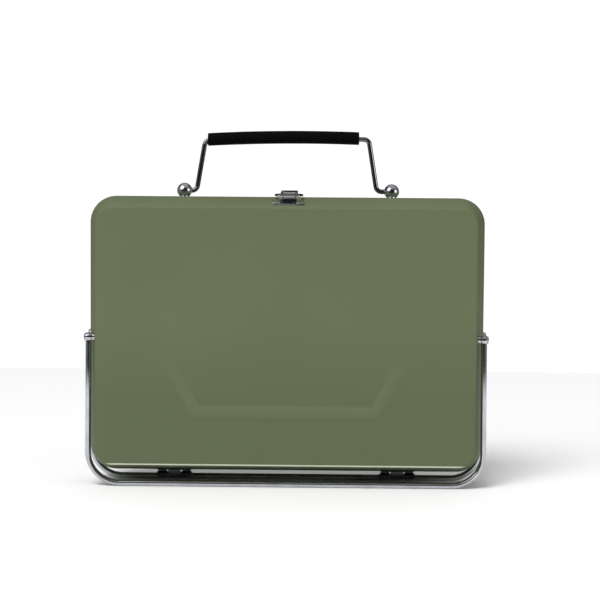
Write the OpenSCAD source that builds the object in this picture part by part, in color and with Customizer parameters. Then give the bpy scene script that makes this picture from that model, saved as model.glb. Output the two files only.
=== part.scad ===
// Portable suitcase barbecue, closed and standing on its two U-shaped legs.
// Millimetres. +X is right, -Y is the front, +Z is up. The origin lies on the
// ground under the middle of the case, in the plane where the two pans meet.

/* [Pans] */
// Width of each pan at its open rim
rim_w = 404; // [360:1:440]
// Height of each pan at its open rim, as it stands
rim_h = 282; // [250:1:320]
// Depth of one pan from rim to panel
pan_depth = 41; // [36:1:50]
// How far the walls lean in over the depth
wall_lean = 11; // [8:0.5:13]
// Outer corner radius at the rim
rim_corner_r = 27; // [24:1:32]
// Height of the rim above the ground
rim_z = 13; // [12:0.5:16]
// Thickness of the sheet steel
sheet = 1; // [0.8:0.1:1.4]
// Height of the embossed bead
bead_h = 1.2; // [0.6:0.1:2]
// Width of the embossed bead
bead_w = 11; // [8:0.5:14]

/* [Legs] */
// Diameter of the leg rod
leg_d = 6; // [5:0.5:6.5]
// Height of the leg pivots above the ground
leg_pivot_z = 152; // [140:1:165]
// Distance of the front leg from the rim plane
front_leg_y = 27; // [26.5:0.5:28]
// Distance of the rear leg from the rim plane
rear_leg_y = 19.5; // [18.5:0.5:19.5]
// Centreline radius of the leg corners
leg_bend_r = 32; // [30:1:34]
// How much wider each leg arm stands at its foot than at its pivot
leg_flare = 1; // [0:0.5:2]

/* [Handle] */
// Diameter of the handle wire
wire_d = 5; // [4:0.5:5]
// Distance of each ball post from the middle
post_x = 107; // [100:1:115]
// Diameter of each ball
ball_d = 15.7; // [14:0.1:18]
// Height of the ball centre along the post
ball_up = 10.7; // [10:0.1:12]
// Rise of the top wire above the ball centres
handle_rise = 55; // [45:1:65]
// Diameter of the foam grip
grip_d = 13.2; // [12:0.2:16]
// Length of the foam grip
grip_len = 156; // [140:1:156]
// Sideways place of the grip on its wire
grip_x = -4; // [-4:0.5:0]

/* [Hinges and latch] */
// Height of the hinge axis above the ground
hinge_z = 8; // [7.5:0.1:8.5]
// Distance of each hinge from the middle
hinge_x = 115; // [90:1:140]
// Outer diameter of a hinge knuckle
knuckle_d = 6; // [5.5:0.1:6.2]
// Sideways place of the latch
latch_x = 1.5; // [-5:0.5:5]

/* [Grates] */
// Gap from bar to bar of a cooking grate, centre to centre
cook_pitch = 14; // [12:1:20]
// Gap from bar to bar of a charcoal grate, centre to centre
coal_pitch = 18; // [14:1:24]

/* [Hidden] */

$fn = 48;
hull_fn = 32;
bend_steps = 9;                 // facets along each bend of a rod
rod_sides = 24;
loop_sides = 12;
past = 1;                       // how far a cut runs past the face it starts from
fit = 0.1;                      // running clearance on the diameter
rim_gap = 0.4;                  // half the gap between the two rims
half_w = rim_w / 2;
rim_top = rim_z + rim_h;
lean = wall_lean / pan_depth;   // inward lean of a wall for each mm of depth
tilt = atan(lean);              // the same lean as an angle
fillet = 3;                     // depth of the round between wall and panel
hem = 2.6;                      // width of the folded hem inside the rim
hem_depth = 2.5;

green = "#66704f";
chrome = "#c9ccd0";
steel = "#8f9399";
black = "#161617";

// ---- general shapes -------------------------------------------------------

function unit(v) = v / norm(v);
// Turn angle, tangent length and inward direction at the corner b of the path a, b, c
function turn(a, b, c) = acos(unit(b - a) * unit(c - b));
function tangent(a, b, c, r) = r * tan(turn(a, b, c) / 2);
function inward(a, b, c) = let (u = unit(b - a), v = unit(c - b)) unit(v - u * (u * v));

// Stations round the corner b: a point on the centreline and its direction
function corner(a, b, c, r) = let (
    u = unit(b - a),
    n = inward(a, b, c),
    t = turn(a, b, c),
    centre = b - u * tangent(a, b, c, r) + n * r
  ) [for (i = [0 : bend_steps]) let (f = t * i / bend_steps)
      [centre + r * (u * sin(f) - n * cos(f)), u * cos(f) + n * sin(f)]];

// Round rod of diameter d swept along the flat path p, with corners of radius r
module bent_rod(p, r, d, sides) {
  last = len(p) - 1;
  side = unit(cross(p[1] - p[0], p[2] - p[1]));
  stations = concat(
    [[p[0], unit(p[1] - p[0])]],
    [for (i = [1 : last - 1]) each corner(p[i - 1], p[i], p[i + 1], r)],
    [[p[last], unit(p[last] - p[last - 1])]]
  );
  points = [for (s = stations, k = [0 : sides - 1]) let (g = 360 * k / sides)
    s[0] + d / 2 * (side * cos(g) + cross(s[1], side) * sin(g))];
  rings = len(stations);
  walls = [for (i = [0 : rings - 2], k = [0 : sides - 1]) let (m = (k + 1) % sides)
    [i * sides + k, (i + 1) * sides + k, (i + 1) * sides + m, i * sides + m]];
  start = [for (k = [0 : sides - 1]) k];
  end = [for (k = [sides - 1 : -1 : 0]) (rings - 1) * sides + k];
  polyhedron(points, concat([start], walls, [end]));
}

// Places children on the outside of the front pan's walls, z or x outwards
module on_bottom(x, depth) {
  translate([x, -depth, rim_z + lean * depth]) rotate([180 - tilt, 0, 0]) children();
}
module on_top(x, depth) {
  translate([x, -depth, rim_top - lean * depth]) rotate([tilt, 0, 0]) children();
}
module on_right(depth, z) {
  translate([half_w - lean * depth, -depth, z]) rotate([0, 0, -tilt]) children();
}

module both_sides() {
  children();
  mirror([1, 0, 0]) children();
}

// Rear pieces are the front ones seen in the rim plane
module at_rear() {
  mirror([0, 1, 0]) children();
}

// ---- pans -----------------------------------------------------------------

// Thin slab of the rounded rim outline, drawn in by inset, that ends at a depth
slab_t = 0.01;
module slab(depth, inset) {
  r = rim_corner_r - inset;
  for (x = [-1, 1], z = [rim_z + rim_corner_r, rim_top - rim_corner_r])
    translate([x * (half_w - rim_corner_r), slab_t - depth, z])
      rotate([90, 0, 0]) cylinder(h = slab_t, r = r, $fn = hull_fn);
}

// Solid of the pan's outer shape, drawn in by skin
module pan_form(skin, start) {
  hull() {
    slab(start + slab_t, lean * (start + slab_t) + skin);
    slab(pan_depth - fillet, lean * (pan_depth - fillet) + skin);
    slab(pan_depth - fillet * 0.3 - skin, lean * (pan_depth - fillet) + fillet * 0.3 + skin);
    slab(pan_depth - skin, lean * (pan_depth - fillet) + fillet + skin);
  }
}

module hem_ring() {
  difference() {
    hull() {
      slab(rim_gap + slab_t, lean * rim_gap + sheet / 2);
      slab(rim_gap + hem_depth, lean * (rim_gap + hem_depth) + sheet / 2);
    }
    hull() {
      slab(rim_gap - past, hem);
      slab(rim_gap + hem_depth + past, hem);
    }
  }
}

// Open trapezoid bead: a level run and two arms that lean outwards
bead_low_z = rim_z + 65;
bead_top_z = rim_z + 119;
bead_low_x = 90;
bead_top_x = 118;
module bead() {
  arm = unit([bead_top_x - bead_low_x, bead_top_z - bead_low_z]);
  half = bead_w / 2;
  across = [arm[1], -arm[0]] * half;
  mitre = half * (1 - arm[0]) / arm[1];
  right = [
    [bead_low_x + mitre, bead_low_z - half],
    [bead_top_x, bead_top_z] + across,
    [bead_top_x, bead_top_z] - across,
    [bead_low_x - mitre, bead_low_z + half]
  ];
  left = [for (i = [3 : -1 : 0]) [-right[i][0], right[i][1]]];
  translate([0, -pan_depth + sheet / 2, 0]) rotate([90, 0, 0])
    linear_extrude(height = bead_h + sheet / 2) polygon(concat(right, left));
}

stud_boss_d = 7;
post_stud_d = 5;
rivet_d = 3;
small_rivet_d = 2;
hinge_rivet_x = 11;
hinge_rivet_depth = 8.5;

module pan(leg_y) {
  difference() {
    union() {
      difference() {
        pan_form(0, rim_gap);
        pan_form(sheet, rim_gap - past);
      }
      hem_ring();
      bead();
    }
    translate([-half_w - past, -leg_y, leg_pivot_z])
      rotate([0, 90, 0]) cylinder(h = rim_w + 2 * past, d = stud_boss_d + fit);
    for (x = [-hinge_x, hinge_x], dx = [-hinge_rivet_x, hinge_rivet_x])
      on_bottom(x + dx, hinge_rivet_depth)
        translate([0, 0, -4]) cylinder(h = 8, d = rivet_d + fit);
  }
}

post_depth = 16.2;              // depth of the ball posts along the rear pan

module front_pan() color(green) difference() {
  pan(front_leg_y);
  catch_rivets_at() translate([0, 0, -4]) cylinder(h = 8, d = small_rivet_d + fit);
}

module rear_pan() color(green) difference() {
  at_rear() pan(rear_leg_y);
  at_rear() both_sides() on_top(post_x, post_depth)
    translate([0, 0, -5]) cylinder(h = 10, d = post_stud_d + fit);
  base_rivets_at() translate([0, 0, -4]) cylinder(h = 8, d = small_rivet_d + fit);
}

// ---- legs -----------------------------------------------------------------

barrel_d = 8.6;
barrel_len = 6.4;
flange_t = 0.7;
gap = 0.3;                      // clearance between pieces that turn past each other
leg_pin_d = 4;
head_t = 1;

// Where the stud flange stands off the leaning wall
function flange_x(y) = half_w - lean * (y - barrel_d / 2) + 0.1;
function barrel_x(y) = flange_x(y) + flange_t + gap;
function arm_x(y) = barrel_x(y) + barrel_len / 2;

module leg(y) {
  top = leg_pivot_z - leg_pin_d / 2 - fit - 0.4;
  low = leg_d / 2;
  x = arm_x(y);
  difference() {
    union() {
      bent_rod([
        [-x, -y, top], [-x - leg_flare, -y, low],
        [x + leg_flare, -y, low], [x, -y, top]
      ], leg_bend_r, leg_d, rod_sides);
      both_sides() translate([barrel_x(y), -y, leg_pivot_z])
        rotate([0, 90, 0]) cylinder(h = barrel_len, d = barrel_d);
    }
    both_sides() translate([barrel_x(y) - past, -y, leg_pivot_z])
      rotate([0, 90, 0]) cylinder(h = barrel_len + 2 * past, d = leg_pin_d + fit);
  }
}

// Shoulder stud through the pan wall: thread, boss, flange and pivot pin
boss_start = 5.5;               // how far inside the flange the boss begins
thread_len = 4;
module leg_stud(y) {
  x = flange_x(y);
  translate([x - boss_start - thread_len, -y, leg_pivot_z]) rotate([0, 90, 0])
    cylinder(h = boss_start + thread_len + flange_t + barrel_len + 2 * gap, d = leg_pin_d);
  translate([x - boss_start, -y, leg_pivot_z])
    rotate([0, 90, 0]) cylinder(h = boss_start, d = stud_boss_d);
  translate([x, -y, leg_pivot_z]) rotate([0, 90, 0]) cylinder(h = flange_t, d = barrel_d);
}

// Domed cap on the outer end of the pivot pin
module leg_cap(y) {
  translate([barrel_x(y) + barrel_len + gap, -y, leg_pivot_z]) rotate([0, 90, 0]) {
    cylinder(h = head_t * 0.6, d = barrel_d - 1);
    translate([0, 0, head_t * 0.6]) cylinder(h = head_t * 0.4, d1 = barrel_d - 1, d2 = barrel_d - 2.6);
  }
}

// Hexagon nut inside the pan
nut_across = 7;
nut_t = 2.6;
module leg_nut(y) {
  translate([flange_x(y) - boss_start - nut_t, -y, leg_pivot_z]) rotate([0, 90, 0]) difference() {
    cylinder(h = nut_t, d = nut_across / cos(30), $fn = 6);
    translate([0, 0, -past]) cylinder(h = nut_t + 2 * past, d = leg_pin_d + fit);
  }
}

module front_leg() color(chrome) leg(front_leg_y);
module rear_leg() color(chrome) at_rear() leg(rear_leg_y);
module front_leg_studs() color(steel) both_sides() leg_stud(front_leg_y);
module rear_leg_studs() color(steel) at_rear() both_sides() leg_stud(rear_leg_y);
module front_leg_caps() color(chrome) both_sides() leg_cap(front_leg_y);
module rear_leg_caps() color(chrome) at_rear() both_sides() leg_cap(rear_leg_y);
module front_leg_nuts() color(steel) both_sides() leg_nut(front_leg_y);
module rear_leg_nuts() color(steel) at_rear() both_sides() leg_nut(rear_leg_y);

// ---- carry handle ---------------------------------------------------------

handle_y = post_depth + ball_up * sin(tilt);
handle_z = rim_top - lean * post_depth + ball_up * cos(tilt);
arm_low_x = post_x - 14;
arm_top_x = arm_low_x - 8.6;
wire_bend_r = 6;
wire_in_ball = 5;               // how far the wire ends before the ball's far side
top_z = handle_z + handle_rise;

module handle_wire() color(chrome) {
  end = post_x + wire_in_ball - ball_d / 2 + 4;
  bent_rod([
    [-end, handle_y, handle_z], [-arm_low_x, handle_y, handle_z],
    [-arm_top_x, handle_y, top_z], [arm_top_x, handle_y, top_z],
    [arm_low_x, handle_y, handle_z], [end, handle_y, handle_z]
  ], wire_bend_r, wire_d, rod_sides);
}

module handle_grip() color(black) translate([grip_x - grip_len / 2, handle_y, top_z])
  rotate([0, 90, 0]) difference() {
    cylinder(h = grip_len, d = grip_d);
    translate([0, 0, -past]) cylinder(h = grip_len + 2 * past, d = wire_d);
  }

post_neck_d = 10.5;
post_foot_t = 1.6;
post_thread = 7;
module ball_post() difference() {
  union() {
    at_rear() on_top(post_x, post_depth) {
      translate([0, 0, ball_up]) sphere(d = ball_d);
      cylinder(h = ball_up - 3, d = post_neck_d - 1.5);
      cylinder(h = post_foot_t, d = post_neck_d + 1);
      translate([0, 0, -post_thread]) cylinder(h = post_thread, d = post_stud_d);
    }
  }
  translate([post_x - ball_d, handle_y, handle_z]) rotate([0, 90, 0])
    cylinder(h = ball_d + wire_in_ball - 2, d = wire_d + fit);
}

module handle_ball_right() color(chrome) ball_post();
module handle_ball_left() color(chrome) mirror([1, 0, 0]) ball_post();

post_nut_across = 9;
post_nut_t = 3.5;
module handle_nuts() color(steel) at_rear() both_sides() on_top(post_x, post_depth)
  translate([0, 0, -sheet - post_nut_t]) difference() {
    cylinder(h = post_nut_t, d = post_nut_across / cos(30), $fn = 6);
    translate([0, 0, -past]) cylinder(h = post_nut_t + 2 * past, d = post_stud_d + fit);
  }

// ---- toggle latch ---------------------------------------------------------

lever_y = 8;                    // pivot of the lever
lever_z = rim_top + 3;
loop_y = 16;                    // where the loop turns in the lever
loop_z = rim_top + 2.5;
cross_y = -21;                  // cross bar of the loop, over the catch
cross_z = rim_top + 1.2;
lever_pin_d = 2.2;
loop_d = 2;
loop_bend_r = 1.3;
plate_t = 1;
ear_in = 6;                     // ears of the base, measured from the latch's middle
ear_out = 7.2;
ear_foot = 3.2;                 // width of an ear where it stands on the base plate
ear_low = rim_top - lean * (lever_y - ear_foot / 2) + 0.06;
cheek_in = 7.5;                 // cheeks of the lever, outside the ears
cheek_out = 8.7;
loop_x = 10.3;
lever_end_y = 28;

module across(x0, x1, y, z, d) {
  translate([x0, y, z]) rotate([0, 90, 0]) cylinder(h = x1 - x0, d = d);
}

module latch_pair() translate([latch_x, 0, 0]) both_sides() children();

base_rivet_x = 12;
base_rivet_depth = 8;
catch_rivet_x = 12.5;
catch_rivet_depth = 27;
module base_rivets_at() latch_pair() at_rear() on_top(base_rivet_x, base_rivet_depth) children();
module catch_rivets_at() latch_pair() on_top(catch_rivet_x, catch_rivet_depth) children();

module latch_base() color(steel) difference() {
  union() {
    translate([latch_x, 0, 0]) at_rear() on_top(0, 4) {
      translate([-9, -20, 0]) cube([18, 20, plate_t]);
      translate([-15, -8, 0]) cube([30, 8, plate_t]);
    }
    latch_pair() {
      translate([ear_in, lever_y - ear_foot / 2, ear_low])
        cube([ear_out - ear_in, ear_foot, lever_z - ear_low]);
      across(ear_in, ear_out, lever_y, lever_z, 4);
    }
  }
  across(latch_x - 10, latch_x + 10, lever_y, lever_z, lever_pin_d + fit);
  base_rivets_at() translate([0, 0, -3]) cylinder(h = 8, d = small_rivet_d + fit);
}

module latch_lever() color(chrome) difference() {
  union() {
    translate([latch_x - cheek_out, lever_y + 3.2, lever_z + 1.4])
      cube([2 * cheek_out, lever_end_y - lever_y - 3.2, plate_t]);
    translate([latch_x - cheek_out, lever_end_y - plate_t, lever_z + 1.4])
      cube([2 * cheek_out, plate_t, 2.2]);
    latch_pair() {
      across(cheek_in, cheek_out, lever_y, lever_z, 4.8);
      translate([cheek_in, lever_y, lever_z - 2.4])
        cube([cheek_out - cheek_in, lever_end_y - 3 - lever_y, 4.8]);
    }
  }
  across(latch_x - 10, latch_x + 10, lever_y, lever_z, lever_pin_d + fit);
  across(latch_x - 10, latch_x + 10, loop_y, loop_z, loop_d + fit);
}

module latch_lever_pin() color(chrome) {
  across(latch_x - cheek_out - gap, latch_x + cheek_out + gap, lever_y, lever_z, lever_pin_d);
}

module latch_loop() color(chrome) {
  hook_x = cheek_in - 0.3;
  translate([latch_x, 0, 0]) bent_rod([
    [-hook_x, loop_y, loop_z], [-loop_x, loop_y, loop_z],
    [-loop_x, cross_y, cross_z], [loop_x, cross_y, cross_z],
    [loop_x, loop_y, loop_z], [hook_x, loop_y, loop_z]
  ], loop_bend_r, loop_d, loop_sides);
}

catch_lip_h = 4.2;
module latch_catch() color(steel) difference() {
  translate([latch_x, 0, 0]) {
    on_top(0, 16) {
      translate([-9, -15, 0]) cube([18, 15, plate_t]);
      translate([-16, -16, 0]) cube([32, 9, plate_t]);
      translate([-8.5, -0.5, 0.5]) rotate([90, 0, 0]) cube([17, catch_lip_h - 0.5, plate_t]);
      translate([-8, -2.8, catch_lip_h - plate_t - 0.2]) cube([16, 2, plate_t]);
    }
    both_sides() on_top(15.6 - plate_t, 31.8) translate([0, 0.2, 0.5]) cube([plate_t, 8, 2]);
  }
  catch_rivets_at() translate([0, 0, -3]) cylinder(h = 8, d = small_rivet_d + fit);
}

// Rivet through a wall: head outside, shank, tail inside
module rivet(d, grip_t) {
  translate([0, 0, plate_t]) cylinder(h = 0.5, d = d * 1.8);
  translate([0, 0, plate_t + 0.5]) cylinder(h = 0.4, d1 = d * 1.8, d2 = d * 1.1);
  translate([0, 0, plate_t - grip_t]) cylinder(h = grip_t, d = d);
  translate([0, 0, plate_t - grip_t - 0.8]) cylinder(h = 0.8, d = d * 1.6);
}

module latch_rivets_rear() color(steel) base_rivets_at() rivet(small_rivet_d, plate_t + sheet);
module latch_rivets_front() color(steel) catch_rivets_at() rivet(small_rivet_d, plate_t + sheet);

// ---- pan hinges -----------------------------------------------------------

knuckle_mid = 14;               // length of the middle knuckle
knuckle_end = 10;               // length of each outer knuckle
knuckle_gap = 0.4;
hinge_pin_d = 3;
knuckles_len = knuckle_mid + 2 * knuckle_end + 2 * knuckle_gap;
leaf_len = knuckles_len - 1;
leaf_near = 1;
leaf_far = 13;

module knuckle(x, length) {
  translate([x - length / 2, 0, hinge_z]) rotate([0, 90, 0]) cylinder(h = length, d = knuckle_d);
  translate([x - length / 2 + 0.7, -knuckle_d / 2 + 0.2, hinge_z])
    cube([length - 1.4, 1.8, rim_z - hinge_z - 0.3]);
}

module leaf(x, knuckles) difference() {
  union() {
    on_bottom(x, leaf_near) translate([-leaf_len / 2, 0, 0])
      cube([leaf_len, leaf_far - leaf_near, plate_t]);
    for (k = knuckles) knuckle(x + k[0], k[1]);
  }
  translate([x - leaf_len, 0, hinge_z]) rotate([0, 90, 0])
    cylinder(h = 2 * leaf_len, d = hinge_pin_d + fit);
  for (dx = [-hinge_rivet_x, hinge_rivet_x]) on_bottom(x + dx, hinge_rivet_depth)
    translate([0, 0, -3]) cylinder(h = 8, d = rivet_d + fit);
}

mid_knuckle = [[0, knuckle_mid]];
end_offset = (knuckle_mid + knuckle_end) / 2 + knuckle_gap;
end_knuckles = [[-end_offset, knuckle_end], [end_offset, knuckle_end]];

module hinge_leaf_front_left() color(steel) leaf(-hinge_x, mid_knuckle);
module hinge_leaf_front_right() color(steel) leaf(hinge_x, mid_knuckle);
module hinge_leaf_rear_left() color(steel) at_rear() leaf(-hinge_x, end_knuckles);
module hinge_leaf_rear_right() color(steel) at_rear() leaf(hinge_x, end_knuckles);

module hinge_pin(x) {
  pin_len = knuckles_len + 2 * gap;
  translate([x - pin_len / 2, 0, hinge_z]) rotate([0, 90, 0]) cylinder(h = pin_len, d = hinge_pin_d);
  for (s = [-1, 1]) translate([x + s * (pin_len / 2 + 0.4) - 0.4, 0, hinge_z])
    rotate([0, 90, 0]) cylinder(h = 0.8, d = hinge_pin_d + 1.6);
}
module hinge_pin_left() color(steel) hinge_pin(-hinge_x);
module hinge_pin_right() color(steel) hinge_pin(hinge_x);

module hinge_rivets() {
  for (x = [-hinge_x, hinge_x], dx = [-hinge_rivet_x, hinge_rivet_x])
    on_bottom(x + dx, hinge_rivet_depth) rivet(rivet_d, plate_t + sheet);
}
module hinge_rivets_front() color(steel) hinge_rivets();
module hinge_rivets_rear() color(steel) at_rear() hinge_rivets();

// ---- grates and their clips ----------------------------------------------

frame_bar = 5;
thin_bar = 3;
cook_depth = 4;                 // outer face of the cooking grate
cook_t = 4;
cook_in = 8;                    // side clearance from the rim outline
coal_depth = 29;
coal_t = 2.5;
coal_in = 15;

module grate_outline(inset) {
  r = rim_corner_r - inset * 0.6;
  w = half_w - inset;
  z0 = rim_z + inset;
  z1 = rim_top - inset;
  translate([-w + r, z0]) square([2 * (w - r), z1 - z0]);
  translate([-w, z0 + r]) square([2 * w, z1 - z0 - 2 * r]);
  for (x = [-w + r, w - r], z = [z0 + r, z1 - r]) translate([x, z]) circle(r = r);
}

module grate(inset, depth, thick, pitch, upright) {
  w = half_w - inset - frame_bar / 2;
  h = rim_h / 2 - inset - frame_bar / 2;
  mid_z = rim_z + rim_h / 2;
  count = floor((upright ? w : h) / pitch - 0.5);
  translate([0, -depth, 0]) rotate([90, 0, 0]) linear_extrude(height = thick) {
    difference() {
      grate_outline(inset);
      grate_outline(inset + frame_bar);
    }
    for (i = [-count : count])
      if (upright) translate([i * pitch - thin_bar / 2, mid_z - h]) square([thin_bar, 2 * h]);
      else translate([-w, mid_z + i * pitch - thin_bar / 2]) square([2 * w, thin_bar]);
  }
}

module cooking_grate() grate(cook_in, cook_depth, cook_t, cook_pitch, true);
module charcoal_grate() grate(coal_in, coal_depth, coal_t, coal_pitch, false);

// Folded clip on a side wall: a flange, a shelf under the grate and a lip over it
clip_w = 14;
clip_t = 1.2;
clip_past = 1;                  // how far the flange runs past the lip and to each side
hem_clear = 0.7;                // how far it stops short of the shelf's near face, at the hem
module clip(depth, thick, edge_x, z) {
  wall_x = half_w - lean * depth - sheet;
  on_right(depth + thick / 2, z)
    translate([-sheet - clip_t - 0.05, -thick / 2 - clip_t - clip_past, -clip_w / 2 - clip_past])
      cube([clip_t, thick + 2 * clip_t + clip_past - hem_clear, clip_w + 2 * clip_past]);
  for (y = [depth - clip_t - 0.15, depth + thick + 0.15]) {
    end_x = wall_x - lean * max(0, y + clip_t - depth) - clip_t / 2;
    translate([edge_x - 6, -y - clip_t, z - clip_w / 2]) cube([end_x - edge_x + 6, clip_t, clip_w]);
  }
}

module grate_clips() both_sides() for (z = [rim_z + rim_h * 0.25, rim_z + rim_h * 0.75]) {
  clip(cook_depth, cook_t, half_w - cook_in, z);
  clip(coal_depth, coal_t, half_w - coal_in, z);
}

module cooking_grate_front() color(chrome) cooking_grate();
module cooking_grate_rear() color(chrome) at_rear() cooking_grate();
module charcoal_grate_front() color(steel) charcoal_grate();
module charcoal_grate_rear() color(steel) at_rear() charcoal_grate();
module grate_clips_front() color(steel) grate_clips();
module grate_clips_rear() color(steel) at_rear() grate_clips();

// ---- nodes ----------------------------------------------------------------

front_pan();
rear_pan();
front_leg();
front_leg_studs();
front_leg_caps();
front_leg_nuts();
rear_leg();
rear_leg_studs();
rear_leg_caps();
rear_leg_nuts();
handle_wire();
handle_grip();
handle_ball_left();
handle_ball_right();
handle_nuts();
latch_base();
latch_lever();
latch_lever_pin();
latch_loop();
latch_catch();
latch_rivets_rear();
latch_rivets_front();
hinge_leaf_front_left();
hinge_leaf_front_right();
hinge_leaf_rear_left();
hinge_leaf_rear_right();
hinge_pin_left();
hinge_pin_right();
hinge_rivets_front();
hinge_rivets_rear();
cooking_grate_front();
cooking_grate_rear();
charcoal_grate_front();
charcoal_grate_rear();
grate_clips_front();
grate_clips_rear();
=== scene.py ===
"""Portable suitcase barbecue: pressed steel pans, chrome legs, wire handle with a foam grip."""
import math

import bmesh
import bpy
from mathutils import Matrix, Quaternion, Vector


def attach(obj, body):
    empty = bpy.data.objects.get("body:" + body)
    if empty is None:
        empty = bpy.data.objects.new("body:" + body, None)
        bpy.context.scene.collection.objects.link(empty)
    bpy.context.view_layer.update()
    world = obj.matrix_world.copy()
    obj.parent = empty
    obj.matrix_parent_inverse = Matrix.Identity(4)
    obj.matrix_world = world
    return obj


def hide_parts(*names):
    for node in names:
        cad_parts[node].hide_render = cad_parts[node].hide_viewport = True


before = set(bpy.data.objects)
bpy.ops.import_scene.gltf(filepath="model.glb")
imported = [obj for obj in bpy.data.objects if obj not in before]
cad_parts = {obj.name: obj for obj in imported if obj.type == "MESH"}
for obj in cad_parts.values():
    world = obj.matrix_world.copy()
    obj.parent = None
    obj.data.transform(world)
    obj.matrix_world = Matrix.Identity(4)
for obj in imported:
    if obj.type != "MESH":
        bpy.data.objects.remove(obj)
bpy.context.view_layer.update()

MM = 0.001

# ---- sizes in millimetres, as the design has them --------------------------

RIM_W = 404.0
RIM_H = 282.0
RIM_Z = 13.0
RIM_TOP = RIM_Z + RIM_H
MID_Z = RIM_Z + RIM_H / 2
PAN_DEPTH = 41.0
LEAN = 11.0 / PAN_DEPTH
TILT = math.atan(LEAN)
CORNER_R = 27.0
RIM_GAP = 0.4
SHEET = 1.0
HALF_W = RIM_W / 2

PIVOT_Z = 152.0
FRONT_LEG_Y = -27.0
REAR_LEG_Y = 19.5
LEG_D = 6.0
LEG_FLARE = 1.0
LEG_BEND_R = 32.0
BARREL_D = 8.6
BARREL_LEN = 6.4
FLANGE_T = 0.7
GAP = 0.3

POST_X = 107.0
POST_DEPTH = 16.2
BALL_D = 15.7
BALL_UP = 10.7
WIRE_D = 5.0
HANDLE_Y = POST_DEPTH + BALL_UP * math.sin(TILT)
HANDLE_Z = RIM_TOP - LEAN * POST_DEPTH + BALL_UP * math.cos(TILT)
HANDLE_TOP = HANDLE_Z + 55.0
GRIP_D = 13.2
GRIP_LEN = 156.0
GRIP_X = -5.0

LATCH_X = 1.5
LEVER_Y = 8.0
LEVER_Z = RIM_TOP + 3.0
LOOP_Y = 16.0
LOOP_Z = RIM_TOP + 2.5
CROSS_Y = -21.0
CROSS_Z = RIM_TOP + 1.2


# ---- working in edit mode ---------------------------------------------------

def clear_selection():
    if bpy.context.object and bpy.context.object.mode != "OBJECT":
        bpy.ops.object.mode_set(mode="OBJECT")
    bpy.ops.object.select_all(action="DESELECT")


def make_active(obj):
    clear_selection()
    obj.select_set(True)
    bpy.context.view_layer.objects.active = obj


def edit(mode="FACE"):
    bpy.ops.object.mode_set(mode="EDIT")
    bpy.ops.mesh.select_mode(type=mode)


def leave():
    bpy.ops.object.mode_set(mode="OBJECT")


def pick(kind, test):
    """Selects only the faces, edges or verts of the mesh in edit mode that test accepts."""
    bpy.ops.mesh.select_mode(type={"faces": "FACE", "edges": "EDGE", "verts": "VERT"}[kind])
    bpy.ops.mesh.select_all(action="DESELECT")
    mesh = bpy.context.object.data
    bm = bmesh.from_edit_mesh(mesh)
    for element in getattr(bm, kind):
        if test(element):
            element.select_set(True)
    bm.select_flush_mode()
    bmesh.update_edit_mesh(mesh)


def add(op, name, **settings):
    clear_selection()
    op(**settings)
    obj = bpy.context.object
    obj.name = name
    obj.data.name = name
    return obj


def apply_place(obj):
    make_active(obj)
    bpy.ops.object.transform_apply(location=True, rotation=True, scale=True)


def apply_modifiers(obj):
    make_active(obj)
    for modifier in list(obj.modifiers):
        bpy.ops.object.modifier_apply(modifier=modifier.name)


def rounded(obj, width, segments=3, angle=35.0):
    """Rounds the sharp edges of obj by width, in millimetres."""
    bevel = obj.modifiers.new("round", "BEVEL")
    bevel.width = width * MM
    bevel.segments = segments
    bevel.limit_method = "ANGLE"
    bevel.angle_limit = math.radians(angle)
    apply_modifiers(obj)


def smooth(obj, angle=35.0):
    make_active(obj)
    bpy.ops.object.shade_smooth_by_angle(angle=math.radians(angle))


def face_out(obj):
    make_active(obj)
    edit()
    bpy.ops.mesh.select_all(action="SELECT")
    bpy.ops.mesh.remove_doubles(threshold=0.00001)
    bpy.ops.mesh.normals_make_consistent(inside=False)
    leave()


def join(name, parts):
    clear_selection()
    for part in parts:
        part.select_set(True)
    bpy.context.view_layer.objects.active = parts[0]
    bpy.ops.object.join()
    obj = bpy.context.object
    obj.name = name
    obj.data.name = name
    return obj


def block(size, centre, turn_x=0.0, width=0.3):
    """Bevelled bar of sheet: size and centre in millimetres, turned about X."""
    obj = add(bpy.ops.mesh.primitive_cube_add, "block", size=1, location=Vector(centre) * MM,
              rotation=(turn_x, 0, 0))
    obj.scale = Vector(size) * MM
    apply_place(obj)
    rounded(obj, width)
    return obj


def disc(axis, radius, length, centre, width=0.3, sides=48):
    """Bevelled round bar along X, or along a direction in the YZ plane."""
    turn = Vector((0, 0, 1)).rotation_difference(Vector(axis)).to_euler()
    obj = add(bpy.ops.mesh.primitive_cylinder_add, "disc", vertices=sides, radius=radius * MM,
              depth=length * MM, location=Vector(centre) * MM, rotation=turn)
    apply_place(obj)
    rounded(obj, width)
    return obj


# ---- bent round rods --------------------------------------------------------

def end_centre():
    """Middle of the selected end face of the rod in edit mode."""
    bm = bmesh.from_edit_mesh(bpy.context.object.data)
    faces = [f for f in bm.faces if f.select]
    return sum((f.calc_center_median() for f in faces), Vector()) / len(faces)


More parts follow.
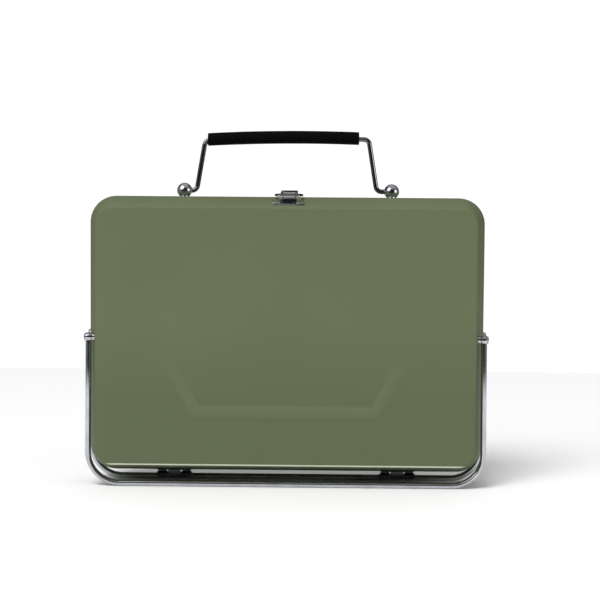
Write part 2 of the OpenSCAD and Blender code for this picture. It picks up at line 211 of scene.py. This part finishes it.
def bent_rod(name, points, bend_r, diameter, sides=32, steps=12, closed=False):
    """Round rod drawn along points, in millimetres, with spun corners of radius bend_r."""
    path = [Vector(p) for p in points]
    count = len(path)
    first = (path[1] - path[0]).normalized()
    turns = []
    for i in range(count):
        if not closed and i in (0, count - 1):
            turns.append(None)
            continue
        before = (path[i] - path[i - 1]).normalized()
        after = (path[(i + 1) % count] - path[i]).normalized()
        angle = before.angle(after)
        tangent = bend_r * math.tan(angle / 2)
        inward = (after - before * before.dot(after)).normalized()
        centre = path[i] - before * tangent + inward * bend_r
        turns.append((angle, tangent, centre, before.cross(after).normalized(), after))
    start = path[0] + first * (turns[0][1] if closed else 0)
    obj = add(bpy.ops.mesh.primitive_circle_add, name, vertices=sides, radius=diameter / 2 * MM,
              fill_type="NGON", location=start * MM,
              rotation=Vector((0, 0, 1)).rotation_difference(first).to_euler())
    apply_place(obj)
    edit()
    bpy.ops.mesh.select_all(action="SELECT")
    here = start
    stations = list(range(1, count)) + ([0] if closed else [])
    for i in stations:
        turn = turns[i]
        previous = path[i - 1]
        direction = (path[i] - previous).normalized()
        stop = path[i] - direction * (turn[1] if turn else 0)
        bpy.ops.mesh.extrude_region_move(TRANSFORM_OT_translate={"value": (stop - here) * MM})
        here = stop
        if turn:
            angle, tangent, centre, axis, after = turn
            bpy.ops.mesh.spin(steps=steps, angle=SPIN_SIGN * angle, center=centre * MM, axis=axis)
            here = path[i] + after * tangent
    if closed:
        bpy.ops.mesh.delete(type="FACE")
        pick("faces", lambda f: len(f.verts) == sides)
        bpy.ops.mesh.delete(type="FACE")
    leave()
    face_out(obj)
    return obj


def spin_sign():
    """Finds out which way a positive spin turns, with a small test ring."""
    obj = add(bpy.ops.mesh.primitive_circle_add, "test", vertices=8, radius=0.1, fill_type="NGON",
              location=(1, 0, 0), rotation=(math.pi / 2, 0, 0))
    apply_place(obj)
    edit()
    bpy.ops.mesh.select_all(action="SELECT")
    bpy.ops.mesh.spin(steps=4, angle=math.pi / 2, center=(0, 0, 0), axis=(0, 0, 1))
    found = 1 if end_centre().y > 0 else -1
    leave()
    bpy.data.objects.remove(obj)
    return found


SPIN_SIGN = spin_sign()


# ---- materials --------------------------------------------------------------

PAINT_DARK = "646c51"
PAINT_LIGHT = "666f53"
# painted light and shade for the raised bead's band
PAINT_BEAD_SHADE = "636b4f"
# painted shade for the lower part of the panels
PAINT_LOW_SHADE = "5d664c"
# painted highlight for the lowest edge of the panels: a painted floor reflection
PAINT_EDGE_HIGHLIGHT = "c9d0bb"


def colour(hex_value):
    """Linear colour from an sRGB hex value."""
    out = []
    for i in (0, 2, 4):
        c = int(hex_value[i:i + 2], 16) / 255
        out.append(c / 12.92 if c <= 0.04045 else ((c + 0.055) / 1.055) ** 2.4)
    return (*out, 1)


def node(tree, kind, settings=None, links=None):
    """Adds a node, sets its sockets or properties, and links its inputs."""
    new = tree.nodes.new(kind)
    for key, value in (settings or {}).items():
        if key in new.inputs:
            new.inputs[key].default_value = value
        else:
            setattr(new, key, value)
    for key, source in (links or {}).items():
        tree.links.new(source, new.inputs[key])
    return new


def surface(name, **settings):
    """Material with a Principled surface, its tree, its shader and Object coordinates."""
    material = bpy.data.materials.new(name)
    material.use_nodes = True
    tree = material.node_tree
    shader = tree.nodes["Principled BSDF"]
    for key, value in settings.items():
        shader.inputs[key.replace("_", " ")].default_value = value
    place = node(tree, "ShaderNodeTexCoord").outputs["Object"]
    return material, tree, shader, place


def ramp(tree, source, low, high, start=0.0, end=1.0):
    new = node(tree, "ShaderNodeValToRGB", links={"Fac": source})
    new.color_ramp.elements[0].position = start
    new.color_ramp.elements[1].position = end
    new.color_ramp.elements[0].color = low
    new.color_ramp.elements[1].color = high
    return new.outputs["Color"]


def spread(tree, source, low, high):
    """Maps a 0 to 1 pattern to the range from low to high."""
    new = node(tree, "ShaderNodeMapRange", {"To Min": low, "To Max": high}, {"Value": source})
    return new.outputs["Result"]


def bump(tree, shader, height, distance, strength=1.0):
    new = node(tree, "ShaderNodeBump", {"Distance": distance, "Strength": strength},
               {"Height": height})
    tree.links.new(new.outputs["Normal"], shader.inputs["Normal"])


def powder_coat():
    """Sprayed and baked polyester powder: satin, with a faint orange peel of about 2 mm."""
    material, tree, shader, place = surface("olive_powder_coat", IOR=1.4,
                                            Specular_IOR_Level=0.15)
    cloud = node(tree, "ShaderNodeTexNoise", {"Scale": 9.0, "Detail": 3.0}, {"Vector": place})
    tone = ramp(tree, cloud.outputs["Fac"], colour(PAINT_DARK), colour(PAINT_LIGHT), 0.3, 0.7)
    # Painted light and shade on the raised bead: the bead's band gets a tone of its own for how the
    # light falls on it
    split = node(tree, "ShaderNodeSeparateXYZ", links={"Vector": place})
    out = node(tree, "ShaderNodeMath", {"operation": "ABSOLUTE"})
    tree.links.new(split.outputs["Y"], out.inputs[0])
    raised = node(tree, "ShaderNodeMapRange", {"From Min": 0.0411, "From Max": 0.0414},
                  {"Value": out.outputs["Value"]})
    # Painted shade: the lower part of each panel is darkened, standing in for the light coming from
    # above
    low = node(tree, "ShaderNodeMapRange", {"From Min": 0.17, "From Max": 0.09},
               {"Value": split.outputs["Z"]})
    lower_shade = node(tree, "ShaderNodeMixRGB", {"Color2": colour(PAINT_LOW_SHADE)},
                {"Fac": low.outputs["Result"], "Color1": tone})
    bead_shade = node(tree, "ShaderNodeMixRGB", {"Color2": colour(PAINT_BEAD_SHADE)},
                {"Fac": raised.outputs["Result"], "Color1": lower_shade.outputs["Color"]})
    # A light line painted along the lowest edge of each panel: a painted reflection of the white
    # floor on the bottom fillet
    edge_z = node(tree, "ShaderNodeMapRange", {"From Min": 0.0254, "From Max": 0.0248},
                  {"Value": split.outputs["Z"]})
    edge_y = node(tree, "ShaderNodeMapRange", {"From Min": 0.0388, "From Max": 0.0394},
                  {"Value": out.outputs["Value"]})
    edge = node(tree, "ShaderNodeMath", {"operation": "MULTIPLY"})
    tree.links.new(edge_z.outputs["Result"], edge.inputs[0])
    tree.links.new(edge_y.outputs["Result"], edge.inputs[1])
    edge_highlight = node(tree, "ShaderNodeMixRGB", {"Color2": colour(PAINT_EDGE_HIGHLIGHT)},
                  {"Fac": edge.outputs["Value"], "Color1": bead_shade.outputs["Color"]})
    tree.links.new(edge_highlight.outputs["Color"], shader.inputs["Base Color"])
    peel = node(tree, "ShaderNodeTexNoise", {"Scale": 520.0, "Detail": 2.0}, {"Vector": place})
    tree.links.new(spread(tree, peel.outputs["Fac"], 0.5, 0.6), shader.inputs["Roughness"])
    bump(tree, shader, peel.outputs["Fac"], 0.00003, 0.35)
    return material


def chrome_plate(name="bright_chrome_plate", tone="c3c4c9", dark="aeafb5"):
    """Nickel and chrome on drawn rod: a mirror with faint drawing lines and handling haze."""
    material, tree, shader, place = surface(name, Metallic=1.0, Roughness=0.08)
    haze = node(tree, "ShaderNodeTexNoise", {"Scale": 60.0, "Detail": 4.0}, {"Vector": place})
    tree.links.new(ramp(tree, haze.outputs["Fac"], colour(dark), colour(tone), 0.3, 0.6),
                   shader.inputs["Base Color"])
    tree.links.new(spread(tree, haze.outputs["Fac"], 0.05, 0.13), shader.inputs["Roughness"])
    fine = node(tree, "ShaderNodeTexNoise", {"Scale": 900.0, "Detail": 2.0}, {"Vector": place})
    bump(tree, shader, fine.outputs["Fac"], 0.000006, 0.4)
    return material


def zinc_steel(name="zinc_plated_steel", dark="777a80", tone="9c9fa4"):
    """Zinc plated pressed steel: grey satin with rolling lines along X."""
    material, tree, shader, place = surface(name, Metallic=1.0, Roughness=0.3)
    stretch = node(tree, "ShaderNodeMapping", {"Scale": (0.03, 1.0, 1.0)}, {"Vector": place})
    lines = node(tree, "ShaderNodeTexNoise", {"Scale": 1400.0, "Detail": 3.0},
                 {"Vector": stretch.outputs["Vector"]})
    tree.links.new(ramp(tree, lines.outputs["Fac"], colour(dark), colour(tone), 0.3, 0.7),
                   shader.inputs["Base Color"])
    tree.links.new(spread(tree, lines.outputs["Fac"], 0.22, 0.4), shader.inputs["Roughness"])
    bump(tree, shader, lines.outputs["Fac"], 0.00001, 0.5)
    return material


def foam():
    """Closed-cell rubber foam sleeve: matt black, cells of about 0.5 mm drawn at 1 mm."""
    material, tree, shader, place = surface("black_cell_foam", Roughness=0.8, IOR=1.4,
                                            Specular_IOR_Level=0.12)
    cells = node(tree, "ShaderNodeTexVoronoi", {"Scale": 950.0}, {"Vector": place})
    patch = node(tree, "ShaderNodeTexNoise", {"Scale": 160.0, "Detail": 4.0}, {"Vector": place})
    tree.links.new(ramp(tree, patch.outputs["Fac"], colour("020202"), colour("070708"), 0.3, 0.7),
                   shader.inputs["Base Color"])
    tree.links.new(spread(tree, patch.outputs["Fac"], 0.65, 0.85), shader.inputs["Roughness"])
    bump(tree, shader, cells.outputs["Distance"], 0.00015, 0.5)
    return material


PAINT = powder_coat()
CHROME = chrome_plate()
# A darker copy of the chrome: painted shade for the dark reflections on the handle wire and the
# latch
SHADED_CHROME = chrome_plate("shaded_chrome_wire", "8c8d92", "6f7076")
ZINC = zinc_steel()
# A near-black copy of the zinc: painted shade for the hinges, which sit in the shade under the case
SHADED_ZINC = zinc_steel("shaded_zinc", "3c3d40", "515256")
FOAM = foam()


def finish_piece(obj, body, material, nodes):
    obj.data.materials.clear()
    obj.data.materials.append(material)
    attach(obj, body)
    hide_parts(*nodes)


# ---- pans -------------------------------------------------------------------

BEAD = ((-120.0, 134.0), (-91.0, 78.0), (91.0, 78.0), (120.0, 134.0))
BEAD_FLAT = 2.2
BEAD_HALF = 7.8
BEAD_H = 1.2
BEAD_FADE = (96.0, 134.0)
BEAD_CELL = 2.0
FILLET_R = 1.4
FILLET_STEPS = 6
HEM_INSET = 0.95                # the hem stands just inside the wall's inner face
HEM_BACK = 0.15
HEM_W = 2.0
HEM_DEPTH = 2.3


def bead_height(x, z):
    """Height of the pressed bead over the panel at x, z, in millimetres."""
    nearest = 1e9
    for (x0, z0), (x1, z1) in zip(BEAD, BEAD[1:]):
        run = Vector((x1 - x0, z1 - z0))
        t = max(0.0, min(1.0, Vector((x - x0, z - z0)).dot(run) / run.length_squared))
        nearest = min(nearest, math.hypot(x - x0 - t * run.x, z - z0 - t * run.y))
    if nearest >= BEAD_HALF:
        return 0.0
    low, high = BEAD_FADE
    fade = 1.0 - max(0.0, min(1.0, (z - low) / (high - low)))
    flank = max(0.0, nearest - BEAD_FLAT) / (BEAD_HALF - BEAD_FLAT)
    return BEAD_H * math.cos(math.pi / 2 * flank) ** 2 * fade * (2 - fade)


def rounded_sheet(name, inset, depth):
    """Flat sheet of the rim outline drawn in by inset, facing forward at a depth."""
    obj = add(bpy.ops.mesh.primitive_plane_add, name, size=1,
              location=(0, -depth * MM, MID_Z * MM), rotation=(math.pi / 2, 0, 0))
    obj.scale = ((RIM_W - 2 * inset) * MM, (RIM_H - 2 * inset) * MM, 1)
    apply_place(obj)
    edit()
    bpy.ops.mesh.select_all(action="SELECT")
    bpy.ops.mesh.bevel(offset=(CORNER_R - inset) * MM, affect="VERTICES", segments=14, profile=0.5,
                       offset_type="OFFSET")
    bpy.ops.mesh.select_all(action="SELECT")
    return obj


def step_in(thickness, depth):
    bpy.ops.mesh.inset(thickness=thickness * MM, depth=depth * MM, use_boundary=True,
                       use_even_offset=True)


def press_panel():
    """From the rim's flat sheet: draws the leaning wall, the fillet and the panel."""
    sweep = math.pi / 2 - TILT
    fillet_depth = FILLET_R * (1 - math.sin(TILT))
    wall = PAN_DEPTH - RIM_GAP - fillet_depth
    step_in(wall * LEAN, wall)
    chord = 2 * FILLET_R * math.sin(sweep / FILLET_STEPS / 2)
    for i in range(FILLET_STEPS):
        angle = TILT + sweep * (i + 0.5) / FILLET_STEPS
        step_in(chord * math.sin(angle), chord * math.cos(angle))
    step_in(2.0, 0.0)


def press_bead():
    """Cuts the panel round the bead into small cells and raises the bead."""
    def panel(f):
        return f.normal.y < -0.999 and f.calc_center_median().y < -(PAN_DEPTH - 0.01) * MM

    half_x, low, high = 135.0, 66.0, 144.0
    squares = 4
    width = 2 * half_x / squares
    cuts = [((0, 0, low), (0, 0, 1)), ((0, 0, high), (0, 0, 1))]
    cuts += [((-half_x + i * width, 0, 0), (1, 0, 0)) for i in range(squares + 1)]
    for point, normal in cuts:
        pick("faces", lambda f: panel(f) and (normal[2] or low * MM < f.calc_center_median().z
                                              < high * MM))
        bpy.ops.mesh.bisect(plane_co=Vector(point) * MM, plane_no=normal)
    pick("faces", lambda f: panel(f) and len(f.verts) == 4
         and low * MM < f.calc_center_median().z < high * MM
         and abs(f.calc_center_median().x) < half_x * MM)
    bpy.ops.mesh.subdivide(number_cuts=int(width / BEAD_CELL) + 4)
    bm = bmesh.from_edit_mesh(bpy.context.object.data)
    for v in bm.verts:
        if v.co.y < -(PAN_DEPTH - 0.01) * MM:
            v.co.y -= bead_height(v.co.x / MM, v.co.z / MM) * MM
    bmesh.update_edit_mesh(bpy.context.object.data)


def build_pan(name, body, at_rear):
    shell = rounded_sheet(name, 0, RIM_GAP)
    press_panel()
    press_bead()
    leave()
    hem = rounded_sheet("hem", HEM_INSET, RIM_GAP + HEM_BACK)
    step_in(HEM_W, 0)
    bpy.ops.mesh.delete(type="FACE")
    bpy.ops.mesh.select_all(action="SELECT")
    bpy.ops.mesh.extrude_region_move(TRANSFORM_OT_translate={"value": (0, -HEM_DEPTH * MM, 0)})
    leave()
    for obj in (shell, hem):
        if at_rear:
            obj.scale = (1, -1, 1)
            apply_place(obj)
        face_out(obj)
    # An open shell has no inside for the normals to settle on, so the side is checked here
    make_active(shell)
    panel = max(shell.data.polygons, key=lambda p: p.area)
    if (panel.normal.y > 0) != at_rear:
        edit()
        bpy.ops.mesh.select_all(action="SELECT")
        bpy.ops.mesh.flip_normals()
        leave()
    wall = shell.modifiers.new("sheet", "SOLIDIFY")
    wall.thickness = SHEET * MM
    wall.offset = -1
    wall.use_even_offset = True
    apply_modifiers(shell)
    rounded(shell, 0.4, 2, 60)
    rounded(hem, 0.8)
    pan = join(name, [shell, hem])
    smooth(pan, 40)
    finish_piece(pan, body, PAINT, ["rear_pan" if at_rear else "front_pan"])


build_pan("front_pan_pressed", "lid", False)
build_pan("rear_pan_pressed", "case", True)


# ---- legs -------------------------------------------------------------------

def build_leg(name, body, cad_node, y):
    flange_x = HALF_W - LEAN * (abs(y) - BARREL_D / 2) + 0.1
    barrel_x = flange_x + FLANGE_T + GAP
    x = barrel_x + BARREL_LEN / 2
    top = PIVOT_Z - 2.6
    low = LEG_D / 2
    foot = x + LEG_FLARE
    parts = [bent_rod("rod", [(-x, y, top), (-foot, y, low), (foot, y, low), (x, y, top)],
                      LEG_BEND_R, LEG_D, sides=32, steps=16)]
    for side in (-1, 1):
        barrel = disc((1, 0, 0), BARREL_D / 2, BARREL_LEN, (side * x, y, PIVOT_Z), 0.7)
        parts.append(barrel)
    leg = join(name, parts)
    smooth(leg)
    finish_piece(leg, body, CHROME, [cad_node])


build_leg("front_leg_rod", "front_leg_frame", "front_leg", FRONT_LEG_Y)
build_leg("rear_leg_rod", "rear_leg_frame", "rear_leg", REAR_LEG_Y)


# ---- carry handle -----------------------------------------------------------

def build_handle_wire():
    low_x = POST_X - 14.0
    top_x = low_x - 8.6
    end = POST_X + 1.0
    aside = -1.4
    left_drop, middle_rise, right_drop = 3.4, 0.3, 1.4
    wire = bent_rod("handle_wire_bent", [
        (-end, HANDLE_Y, HANDLE_Z), (-low_x + aside, HANDLE_Y, HANDLE_Z),
        (-top_x + aside, HANDLE_Y, HANDLE_TOP - left_drop),
        (GRIP_X, HANDLE_Y, HANDLE_TOP + middle_rise),
        (top_x + aside, HANDLE_Y, HANDLE_TOP - right_drop),
        (low_x + aside, HANDLE_Y, HANDLE_Z), (end, HANDLE_Y, HANDLE_Z)], 6.0, WIRE_D)
    smooth(wire)
    finish_piece(wire, "handle", SHADED_CHROME, ["handle_wire"])


def build_grip():
    """Foam sleeve pushed along the wire: bowed, lower at the left, soft at its cut ends."""
    grip = add(bpy.ops.mesh.primitive_cylinder_add, "handle_grip_foam", vertices=48,
               radius=GRIP_D / 2 * MM, depth=GRIP_LEN * MM,
               location=(GRIP_X * MM, HANDLE_Y * MM, HANDLE_TOP * MM), rotation=(0, math.pi / 2, 0))
    apply_place(grip)
    edit()
    pick("faces", lambda f: abs(f.normal.x) > 0.9)
    bpy.ops.mesh.inset(thickness=(GRIP_D - WIRE_D - 0.3) / 2 * MM)
    bpy.ops.mesh.delete(type="FACE")
    pick("edges", lambda e: e.is_boundary)
    bpy.ops.mesh.bridge_edge_loops()
    leave()
    face_out(grip)
    edit()
    pick("edges", lambda e: abs(e.verts[0].co.x - e.verts[1].co.x) > 100 * MM)
    bpy.ops.mesh.subdivide(number_cuts=40)
    leave()
    rounded(grip, 0.8, 4, 60)
    half = GRIP_LEN / 2 * MM
    rise, bow, lean = 0.4, 1.8, 1.0
    for v in grip.data.vertices:
        along = (v.co.x - GRIP_X * MM) / half
        radial = Vector((0, v.co.y - HANDLE_Y * MM, v.co.z - HANDLE_TOP * MM))
        swell = 0.02 * math.sin(9 * along) * math.sin(4 * math.atan2(radial.z, radial.y))
        v.co += radial * swell
        v.co.z += (rise - bow * along * along + lean * along) * MM
    smooth(grip, 50)
    finish_piece(grip, "handle", FOAM, ["handle_grip"])


def build_ball(name, side, cad_node):
    """Polished ball turned on a short neck and foot, square to the leaning wall."""
    up = Vector((0, math.sin(TILT), math.cos(TILT)))
    base = Vector((side * POST_X, POST_DEPTH, RIM_TOP - LEAN * POST_DEPTH))
    ball = add(bpy.ops.mesh.primitive_uv_sphere_add, name, segments=64, ring_count=32,
               radius=BALL_D / 2 * MM)
    edit()
    neck_r = 4.5
    cut = -math.sqrt((BALL_D / 2) ** 2 - neck_r ** 2)
    pick("faces", lambda f: f.calc_center_median().z < cut * MM)
    bpy.ops.mesh.delete(type="FACE")
    pick("edges", lambda e: e.is_boundary)
    foot_z = -BALL_UP + 1.7
    lowest = min(v.co.z for v in bmesh.from_edit_mesh(ball.data).verts) / MM
    for dz, scale in ((foot_z - lowest, 1.0), (0.0, 1.27), (-1.6, 1.0)):
        bpy.ops.mesh.extrude_region_move(TRANSFORM_OT_translate={"value": (0, 0, dz * MM)})
        if scale != 1.0:
            bpy.ops.transform.resize(value=(scale, scale, 1))
    bpy.ops.mesh.edge_face_add()
    leave()
    ball.rotation_euler = (-TILT, 0, 0)
    ball.location = (base + up * BALL_UP) * MM
    apply_place(ball)
    face_out(ball)
    rounded(ball, 0.25, 2, 50)
    smooth(ball)
    stud = disc(up, 2.5, 7.0, base - up * 3.5, 0.3)
    ball = join(name, [ball, stud])
    finish_piece(ball, "case", CHROME, [cad_node])


build_handle_wire()
build_grip()
build_ball("handle_ball_right_turned", 1, "handle_ball_right")
build_ball("handle_ball_left_turned", -1, "handle_ball_left")


# ---- toggle latch -----------------------------------------------------------

def build_latch_loop():
    """Wire loop that bows out beside the lever and hooks into its cheeks."""
    hook_x, loop_x, bow_x = 7.2, 10.3, 13.6
    slope = (LOOP_Z - CROSS_Z) / (LOOP_Y - CROSS_Y)
    half = [(hook_x, LOOP_Y), (loop_x, LOOP_Y), (bow_x, 6.0), (bow_x, -9.0), (loop_x, CROSS_Y)]
    outline = [(-x, y, LOOP_Z - slope * (LOOP_Y - y)) for x, y in half]
    outline += [(-x, y, z) for x, y, z in reversed(outline)]
    loop = bent_rod("latch_loop_wire", [(x + LATCH_X, y, z) for x, y, z in outline], 1.3, 2.0,
                    sides=20, steps=8)
    smooth(loop)
    finish_piece(loop, "loop", CHROME, ["latch_loop"])


def build_latch_lever():
    """Folded lever: two cheeks round the pivot, a top plate and a curled finger lip."""
    plate_z = LEVER_Z + 1.9
    parts = [
        block((17.4, 15.8, 1.0), (LATCH_X, 19.1, plate_z), width=0.35),
        disc((1, 0, 0), 1.0, 17.4, (LATCH_X, 27.5, plate_z + 0.9), 0.3, 24)
    ]
    for side in (-1, 1):
        x = LATCH_X + side * 8.1
        parts.append(disc((1, 0, 0), 2.4, 1.2, (x, LEVER_Y, LEVER_Z), 0.3))
        parts.append(block((1.2, 16.8, 4.6), (x, 16.4, LEVER_Z), width=0.3))
    lever = join("latch_lever_folded", parts)
    smooth(lever)
    finish_piece(lever, "lever", SHADED_CHROME, ["latch_lever"])


def on_rear_top(depth, up):
    return RIM_TOP - LEAN * depth + up * math.cos(TILT), depth + up * math.sin(TILT)


def build_latch_base():
    z, y = on_rear_top(13.6, 0.5)
    parts = [block((18.0, 19.6, 1.0), (LATCH_X, y, z), -TILT, 0.3)]
    z, y = on_rear_top(7.8, 0.52)
    parts.append(block((30.0, 8.0, 1.04), (LATCH_X, y, z), -TILT, 0.4))
    for side in (-1, 1):
        x = LATCH_X + side * 6.6
        parts.append(disc((1, 0, 0), 2.0, 1.2, (x, LEVER_Y, LEVER_Z), 0.25))
        parts.append(block((1.2, 4.0, 5.0), (x, LEVER_Y, LEVER_Z - 2.5), width=0.2))
    base = join("latch_base_pressed", parts)
    smooth(base)
    finish_piece(base, "case", SHADED_CHROME, ["latch_base"])


def build_latch_catch():
    """Catch plate with flared ears and a hook that the loop drops over."""
    def at(depth, up):
        return -depth - up * math.sin(TILT), RIM_TOP - LEAN * depth + up * math.cos(TILT)

    parts = []
    for width, length, depth, up in ((18.0, 15.0, 23.5, 0.5), (32.0, 9.0, 27.5, 0.52)):
        y, z = at(depth, up)
        parts.append(block((width, length, 1.0), (LATCH_X, y, z), TILT, 0.35))
    y, z = at(17.0, 2.2)
    parts.append(block((17.0, 1.0, 4.0), (LATCH_X, y, z), TILT, 0.35))
    y, z = at(18.2, 3.7)
    parts.append(block((17.0, 2.6, 1.0), (LATCH_X, y, z), TILT, 0.35))
    for side in (-1, 1):
        y, z = at(30.6, 1.5)
        parts.append(disc((1, 0, 0), 1.35, 7.5, (LATCH_X + side * 12.2, y, z), 0.6, 32))
        y, z = at(27.5, 1.5)
        parts.append(block((1.0, 8.0, 2.2), (LATCH_X + side * 15.2, y, z), TILT, 0.35))
    catch = join("latch_catch_pressed", parts)
    smooth(catch)
    finish_piece(catch, "lid", CHROME, ["latch_catch"])


build_latch_loop()
build_latch_lever()
build_latch_base()
build_latch_catch()


# ---- grates -----------------------------------------------------------------

def build_grate(name, body, cad_node, inset, depth, frame_d, bar_d, pitch, upright, at_rear,
                material):
    """Welded wire grate: a rounded frame and a row of bars behind it."""
    sign = 1 if at_rear else -1
    y = sign * (depth + frame_d / 2)
    w = HALF_W - inset - frame_d / 2
    low, high = RIM_Z + inset + frame_d / 2, RIM_TOP - inset - frame_d / 2
    parts = [bent_rod("frame", [(-w, y, low), (w, y, low), (w, y, high), (-w, y, high)],
                      18.0, frame_d, sides=16, steps=8, closed=True)]
    half_h = (high - low) / 2
    count = int((w if upright else half_h) / pitch - 0.5)
    length = 2 * (half_h if upright else w)
    first = (-count * pitch, y, MID_Z) if upright else (0, y, MID_Z - count * pitch)
    axis = (0, 0, 1) if upright else (1, 0, 0)
    bars = disc(axis, bar_d / 2, length, first, 0.2, sides=12)
    row = bars.modifiers.new("row", "ARRAY")
    row.use_relative_offset = False
    row.use_constant_offset = True
    row.constant_offset_displace = (pitch * MM, 0, 0) if upright else (0, 0, pitch * MM)
    row.count = 2 * count + 1
    apply_modifiers(bars)
    parts.append(bars)
    grate = join(name, parts)
    smooth(grate)
    finish_piece(grate, body, material, [cad_node])


for at_rear in (False, True):
    end = "rear" if at_rear else "front"
    body = "case" if at_rear else "lid"
    build_grate(f"cooking_grate_{end}_wire", body, f"cooking_grate_{end}", 8.0, 4.0, 4.0, 3.0, 14.0,
                True, at_rear, CHROME)
    build_grate(f"charcoal_grate_{end}_wire", body, f"charcoal_grate_{end}", 15.0, 29.0, 2.5, 2.4,
                18.0, False, at_rear, ZINC)


# ---- CAD pieces that keep their shape ----------------------------------------

KEPT_CHROME = ("front_leg_caps", "rear_leg_caps", "latch_lever_pin", "front_leg_studs",
               "rear_leg_studs")
for name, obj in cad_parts.items():
    if obj.hide_render:
        continue
    # The hinges take the near-black zinc copy: painted shade under the case
    kept = CHROME if name in KEPT_CHROME else SHADED_ZINC if "hinge" in name else ZINC
    if not obj.material_slots:
        obj.data.materials.append(kept)
    for place in obj.material_slots:
        place.material = kept


# ---- floor, light and camera --------------------------------------------------

def build_floor():
    """Pale floor that stops a metre off, so that the chrome mirrors a dark room beyond it."""
    floor = add(bpy.ops.mesh.primitive_plane_add, "floor", size=2.0, location=(0, 0.1, 0))
    apply_place(floor)
    pale = surface("pale_floor", Base_Color=(0.93, 0.93, 0.93, 1), Roughness=0.9,
                   Specular_IOR_Level=0.1)[0]
    floor.data.materials.append(pale)


def build_light(name, place, target, size, power, mirrored=True, lights=True):
    """Softbox that may be left out of the mirror image, or only seen in it."""
    light = bpy.data.lights.new(name, "AREA")
    light.shape = "RECTANGLE"
    light.size, light.size_y = size
    light.energy = power
    obj = bpy.data.objects.new(name, light)
    bpy.context.scene.collection.objects.link(obj)
    obj.location = place
    obj.rotation_euler = (Vector(target) - Vector(place)).to_track_quat("-Z", "Y").to_euler()
    obj.visible_glossy = mirrored
    obj.visible_diffuse = lights


def build_world():
    """White room: plain white where it is seen, softboxes at the sides where it is mirrored."""
    world = bpy.data.worlds.new("studio")
    bpy.context.scene.world = world
    world.use_nodes = True
    tree = world.node_tree
    tree.nodes.clear()
    path = node(tree, "ShaderNodeLightPath")
    place = node(tree, "ShaderNodeTexCoord").outputs["Generated"]
    split = node(tree, "ShaderNodeSeparateXYZ", links={"Vector": place})
    across = node(tree, "ShaderNodeMath", {"operation": "ABSOLUTE"})
    tree.links.new(split.outputs["X"], across.inputs[0])
    sides = node(tree, "ShaderNodeMapRange", {"From Min": 0.55, "From Max": 0.9, "To Min": 0.03,
                                              "To Max": 0.26}, {"Value": across.outputs["Value"]})
    above = node(tree, "ShaderNodeMapRange", {"From Min": 0.5, "From Max": 0.9, "To Min": 0.0,
                                              "To Max": 0.5}, {"Value": split.outputs["Z"]})
    total = node(tree, "ShaderNodeMath", {"operation": "ADD"})
    tree.links.new(sides.outputs["Result"], total.inputs[0])
    tree.links.new(above.outputs["Result"], total.inputs[1])
    mirrored = node(tree, "ShaderNodeBackground", {"Color": (1, 1, 1, 1)},
                    {"Strength": total.outputs["Value"]})
    seen = node(tree, "ShaderNodeBackground", {"Color": (1, 1, 1, 1), "Strength": 1.05})
    mix = node(tree, "ShaderNodeMixShader")
    tree.links.new(path.outputs["Is Camera Ray"], mix.inputs["Fac"])
    tree.links.new(mirrored.outputs["Background"], mix.inputs[1])
    tree.links.new(seen.outputs["Background"], mix.inputs[2])
    out = node(tree, "ShaderNodeOutputWorld")
    tree.links.new(mix.outputs["Shader"], out.inputs["Surface"])


def build_sun(name, direction, power, softness):
    """Large soft light, even over the whole floor and not seen in the chrome."""
    sun = bpy.data.lights.new(name, "SUN")
    sun.energy = power
    sun.angle = math.radians(softness)
    obj = bpy.data.objects.new(name, sun)
    bpy.context.scene.collection.objects.link(obj)
    obj.rotation_euler = Vector(direction).to_track_quat("Z", "Y").to_euler()
    obj.visible_glossy = False


def build_camera():
    camera = bpy.data.cameras.new("camera")
    camera.lens = 97.8
    camera.sensor_width = 36.0
    obj = bpy.data.objects.new("camera", camera)
    bpy.context.scene.collection.objects.link(obj)
    place = Vector((0.035, -1.671, 0.295))
    aim = Vector((0.014, -0.041, 0.192))
    roll = Quaternion((0, 0, 1), math.radians(0.44))
    obj.location = place
    obj.rotation_mode = "QUATERNION"
    obj.rotation_quaternion = (aim - place).to_track_quat("-Z", "Y") @ roll
    bpy.context.scene.camera = obj


build_floor()
build_world()
build_sun("key", (-0.26, -0.52, 0.81), 2.05, 30)
build_sun("back_top", (0.1, 0.45, 0.88), 0.4, 60)
build_light("fill_right", (1.9, -0.9, 0.6), (0.2, 0, 0.15), (0.8, 1.0), 10)
build_light("fill_left", (-1.1, -1.2, 1.2), (-0.1, 0, 0.28), (1.1, 1.1), 10, mirrored=False)
build_light("window_left", (-1.2, -1.0, 1.5), (-0.1, 0, 0.28), (1.7, 1.7), 18, lights=False)
build_camera()
bpy.context.scene.view_settings.view_transform = "Standard"
bpy.context.scene.view_settings.look = "None"
